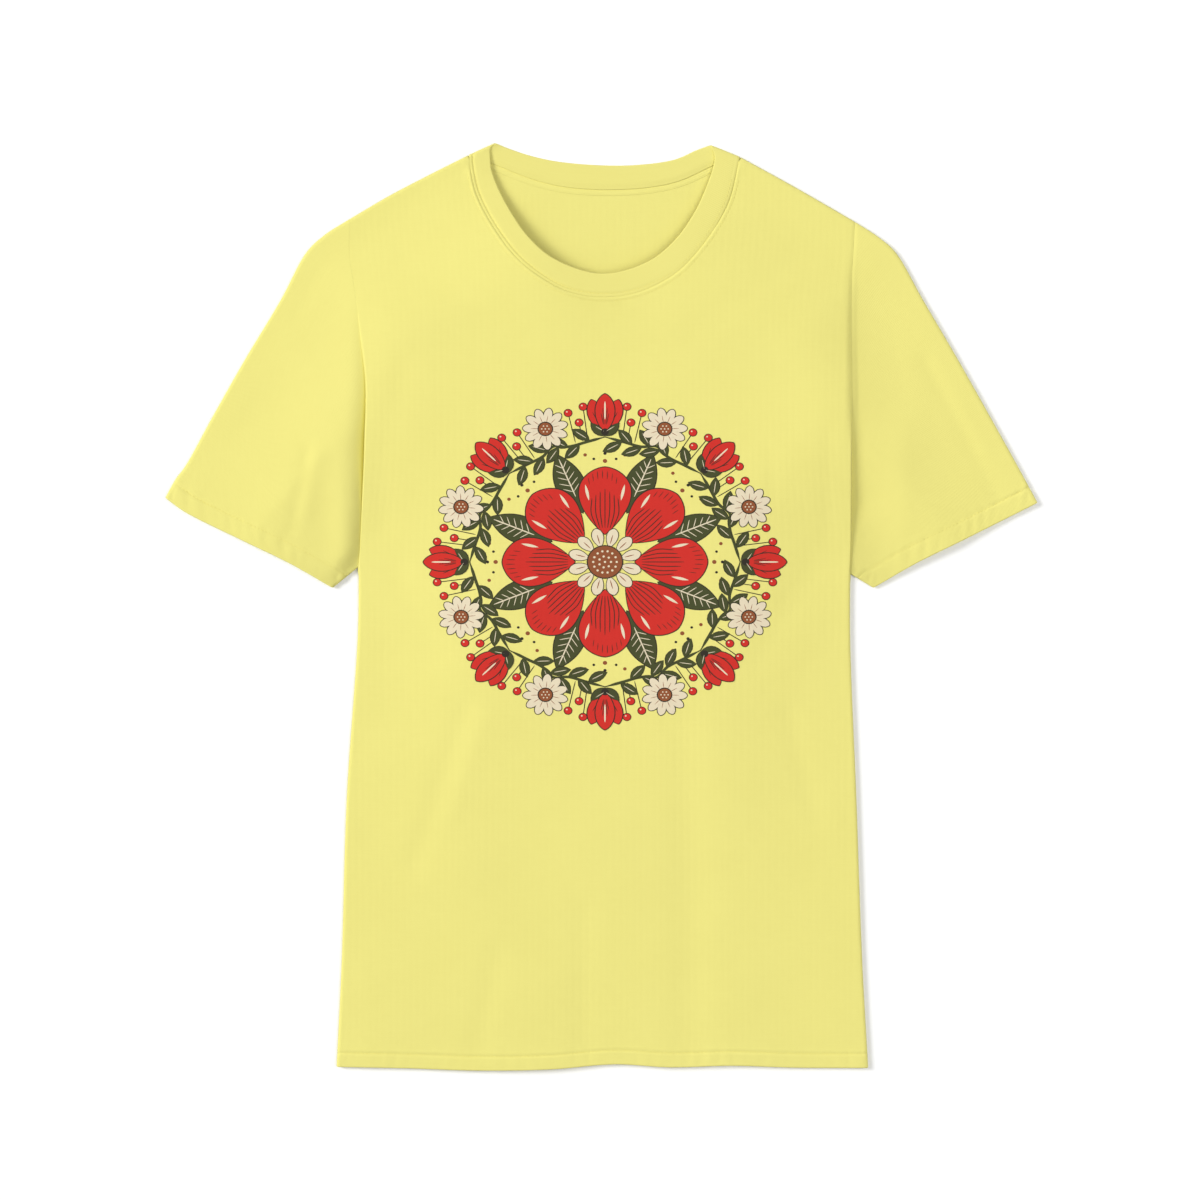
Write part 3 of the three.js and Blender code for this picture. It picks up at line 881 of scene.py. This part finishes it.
def draw_rosette(pen):
    """The big flower in the middle, with leaves between its petals."""
    for k in range(8):
        angle = k * math.pi / 4 + math.pi / 8
        pen.outlined("olive", 0, polar(42, angle), angle, 50, 21, fullest=0.5)
        pen.stroke("cream", 2, [polar(r, angle) for r in (56, 70, 88)], 0.9)
        for r in (60, 65, 70, 75, 80):
            for way in (-1, 1):
                reach = 8.5 - 0.24 * abs(r - 66)
                pen.stroke("cream", 2, [polar(r, angle), polar(r + 5, angle + way * reach * 0.8 / r)], 0.55)
    for k in range(8):
        angle = k * math.pi / 4
        pen.outlined("red", 2, polar(22, angle), angle, 53, 38, fullest=0.62, point=0.62)
        for way in range(-3, 4):
            ends = (27, 0.07), (40, 0.085), (58 - 2.2 * abs(way), 0.062)
            pen.stroke("dark", 4, [polar(r, angle + way * spread) for r, spread in ends], 0.65)
        for way in range(-3, 4):
            ends = (72.5 - 0.55 * way * way, 0.052), (66 - 0.4 * way * way, 0.052)
            pen.stroke("dark", 4, [polar(r, angle + (way + 0.5) * spread) for r, spread in ends], 0.5)
        for way in (-1, 1):
            pen.leaf("cream", 5, polar(50, angle + way * 0.235), angle + way * 0.22, 13, 2.2)
    for k in range(12):
        angle = k * math.pi / 6 + 0.26
        pen.outlined("cream", 5, polar(12, angle), angle, 15, 8.2, fullest=0.6, point=0.6, line=0.6)
        pen.stroke("brown", 7, [polar(15, angle), polar(22, angle)], 0.7)
    pen.dot("dark", 7, (0, 0), 13.4)
    pen.dot("brown", 8, (0, 0), 12.6)
    for ring, count in ((0, 1), (4.4, 7), (8.6, 14)):
        for k in range(count):
            pen.dot("cream", 9, polar(ring, 2 * math.pi * k / count), 0.85)


def draw_tulip(pen, angle):
    """A small cup-shaped flower that opens outwards from the garland."""
    foot = polar(103, angle)
    for way in (-1, 1):
        heading = angle + way * 0.5
        pen.outlined("red", 3, foot, heading, 27, 12, bend=-way * 3.5, fullest=0.55, point=0.75)
        for aside in (-1, 0, 1):
            turns = [(r, heading + aside * 0.1 - way * r * 0.004) for r in (6, 12, 18)]
            pen.stroke("dark", 5, [foot + polar(r, turn) for r, turn in turns], 0.5)
    pen.outlined("red", 6, foot, angle, 30, 14, fullest=0.55, point=0.7)
    pen.stroke("cream", 8, [foot + polar(10, angle), foot + polar(24, angle)], 1.1)
    for way in (-1, 1):
        for turn, reach in ((0.09, 19), (0.19, 15)):
            pen.stroke("dark", 8, [foot + polar(r, angle + way * turn) for r in (6, reach)], 0.5)
        root = foot - polar(3, angle)
        pen.outlined("olive", 8, root, angle + way * 1.0, 14, 6, bend=-way * 3.0, line=0.5)
        pen.stroke("cream", 10, [foot + polar(r, angle + way * 1.0) for r in (1, 8)], 0.45)
    pen.dot("dark", 10, foot, 2.8)


def draw_daisy(pen, angle):
    """An open flower with narrow petals round a brown button."""
    middle = polar(114, angle)
    for k in range(11):
        heading = angle + k * 2 * math.pi / 11
        root = middle + polar(3, heading)
        pen.outlined("cream", 3, root, heading, 13.5, 6.2, fullest=0.62, point=0.6, line=0.6)
        pen.stroke("brown", 5, [middle + polar(r, heading) for r in (5, 10.5)], 0.45)
    pen.dot("dark", 6, middle, 5.8)
    pen.dot("brown", 7, middle, 5.0)
    for ring, count in ((0, 1), (2.6, 6)):
        for k in range(count):
            pen.dot("cream", 8, middle + polar(ring, k * 2 * math.pi / count), 0.55)


# Leaves and berries along one eighth of the garland: turn from its flower, radius, and a leaf's side
GARLAND_LEAVES = [(0.12, 97, 1), (0.20, 95, -1), (0.29, 94.5, 1), (0.36, 97, -1), (0.44, 97, 1),
                  (0.50, 94, -1), (0.58, 94.5, 1), (0.66, 95.5, -1)]
GARLAND_BERRIES = [(0.17, 112), (0.225, 121), (0.13, 124), (0.56, 121), (0.615, 112), (0.655, 124)]


def draw_garland(pen):
    """The ring of stems with small leaves and berries that carries the outer flowers."""
    for k in range(8):
        start = k * math.pi / 4
        bow = [(0, 99), (0.14, 96), (0.28, 95), (0.393, 99), (0.50, 95), (0.64, 96), (math.pi / 4, 99)]
        pen.stroke("olive", 1, [polar(r, start + turn) for turn, r in bow], 2.2)
        for turn, radius, way in GARLAND_LEAVES:
            root, heading = polar(radius, start + turn), start + turn + (0.75 if way > 0 else 2.3)
            pen.outlined("olive", 1, root, heading, 15, 7, bend=1.8 * way, line=0.5)
            pen.stroke("cream", 3, [root + polar(3, heading), root + polar(12, heading + 0.08 * way)], 0.5)
        for turn, radius in GARLAND_BERRIES:
            centre = polar(radius, start + turn)
            pen.stroke("dark", 0, [polar(97, start + turn), centre], 0.7)
            pen.dot("dark", 1, centre, 3.3)
            pen.dot("red", 2, centre, 2.7)
            pen.dot("cream", 3, centre + np.array([-0.9, 0.9]), 0.6)
    for k in range(8):
        draw_tulip(pen, k * math.pi / 4)
        draw_daisy(pen, k * math.pi / 4 + math.pi / 8)


# Dots in one eighth of the print: turn, radius, ink and size
SPRINKLES = [(0, 80, "brown", 1.6), (0, 86, "dark", 1.2), (0.10, 82, "dark", 1.0), (-0.10, 82, "dark", 1.0),
             (0.17, 86, "brown", 1.3), (-0.17, 86, "brown", 1.3)]


def draw_sprinkles(pen):
    """Small dots that fill the ground between the middle and the garland."""
    for k in range(8):
        for turn, radius, colour, size in SPRINKLES:
            pen.dot(colour, 0, polar(radius, k * math.pi / 4 + turn), size)


def printed(front):
    """Draws the garland and lays each ink on the finished front."""
    pen = Drawing()
    draw_garland(pen)
    draw_rosette(pen)
    draw_sprinkles(pen)
    trees = surface_of(front)
    made = []
    for colour, work in pen.works.items():
        uv = work.loops.layers.uv.new("cloth")
        for vertex in work.verts:
            x, y = ((PRINT_MIDDLE[k] + PRINT_SCALE[k] * vertex.co[k]) * MM for k in (0, 1))
            place, _ = dropped(trees, x, y)
            vertex.co = (x, y, place.z + (INK_RISE + INK_LEVEL * vertex.co.z) * MM)
        bmesh.ops.recalc_face_normals(work, faces=work.faces)
        for face in work.faces:
            if face.normal.z < 0:
                face.normal_flip()
            for loop in face.loops:
                loop[uv].uv = loop.vert.co.xy
        piece = finished("print_" + colour, work, INKS[colour])
        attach(piece, "root")
        made.append(piece)
    return made


# Build


def dress():
    """Makes the six pieces of cloth, each in place of its solid."""
    pieces = {
        "front": front_panel(),
        "back": back_panel(),
        "right": sleeve(right, "right_sleeve_cloth"),
        "left": sleeve(left, "left_sleeve_cloth"),
        "neck": neck_band(),
        "tape": neck_tape(),
    }
    for key, node, slot in (("front", "front_panel", "jersey"), ("back", "back_panel", "jersey"),
                            ("right", "right_sleeve", "jersey"), ("left", "left_sleeve", "jersey"),
                            ("neck", "neck_rib", "rib"), ("tape", "neck_tape", "tape")):
        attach(pieces[key], "root")
        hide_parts(node)
    return pieces


def sew(pieces):
    """Lays every row of stitches on its piece of cloth, and lists them by that piece."""
    hem, neck = HEM_LINE.spaced(), NECK_SEAM.spaced()[6:-6]
    right_cuff = beside(right.cuff.spaced()[2:-2], CUFF_TURN)
    left_cuff = beside(left.cuff.spaced()[2:-2], -CUFF_TURN)
    rows = {
        "hem_stitches": (beside(hem[2:-2], HEM_TURN), "front", 1),
        "right_cuff_stitches": (right_cuff, "right", 1),
        "left_cuff_stitches": (left_cuff, "left", 1),
        "neck_stitches": (beside(neck, -STITCH_OUTSIDE_NECK), "front", 1),
        "neck_band_stitches": (beside(neck, STITCH_INSIDE_NECK), "neck", 1),
        "back_hem_stitches": (beside(hem[4:-4], HEM_TURN), "back", -1),
        "right_cuff_back_stitches": (right_cuff, "right", -1),
        "left_cuff_back_stitches": (left_cuff, "left", -1),
    }
    made = {key: [] for key in pieces}
    for name, (line, on, facing) in rows.items():
        piece = stitches(name, line, surface_of(pieces[on]), facing)
        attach(piece, "root")
        made[on].append(piece)
    return made


# Stage, in metres: what the photo spans at the height of the cloth, its middle, the camera and the floor
PHOTO_SPAN = 0.9204
PHOTO_MIDDLE = (-0.0015, 0.005)
CLOTH_HEIGHT = 0.004
CAMERA_HEIGHT = 2.6
FLOOR_HEIGHT = -0.0003
WORLD_LIGHT = 0.345


def floor():
    work = bmesh.new()
    bmesh.ops.create_grid(work, x_segments=1, y_segments=1, size=4)
    made = Nodes("pale floor")
    where = made.add("ShaderNodeTexCoord").outputs["Object"]
    made.link(made.blend(made.noise(where, 3.0), (0.93, 0.93, 0.93), (0.95, 0.95, 0.95)),
              made.shader.inputs["Base Color"])
    made.shader.inputs["Roughness"].default_value = 0.9
    piece = finished("studio_floor", work, made.material)
    for vertex in piece.data.vertices:
        vertex.co.z = FLOOR_HEIGHT


def camera():
    data = bpy.data.cameras.new("camera")
    data.sensor_fit = "HORIZONTAL"
    data.sensor_width = 36
    data.lens = data.sensor_width * (CAMERA_HEIGHT - CLOTH_HEIGHT) / PHOTO_SPAN
    data.clip_end = 20
    view = bpy.data.objects.new("camera", data)
    view.location = (*PHOTO_MIDDLE, CAMERA_HEIGHT)
    bpy.context.scene.collection.objects.link(view)
    bpy.context.scene.camera = view


def lamp(name, place, size, power):
    """A square lamp that looks at the shirt: its place and size in metres, its power in watts."""
    data = bpy.data.lights.new(name, "AREA")
    data.size = size
    data.energy = power
    light = bpy.data.objects.new(name, data)
    light.location = place
    light.rotation_euler = (-Vector(place)).to_track_quat("-Z", "Y").to_euler()
    bpy.context.scene.collection.objects.link(light)


def lights():
    lamp("window", (-5.3, 1.8, 3.8), 2.9, 396)
    lamp("softbox", (1.4, 0.0, 2.9), 2.2, 48)
    world = bpy.data.worlds.new("studio")
    world.use_nodes = True
    background = world.node_tree.nodes["Background"]
    background.inputs["Color"].default_value = (1, 1, 1, 1)
    background.inputs["Strength"].default_value = WORLD_LIGHT
    bpy.context.scene.world = world
    bpy.context.scene.view_settings.view_transform = "Standard"


camera()
lights()
floor()
shirt = dress()
sewn = sew(shirt)
sewn["front"] += printed(shirt["front"])
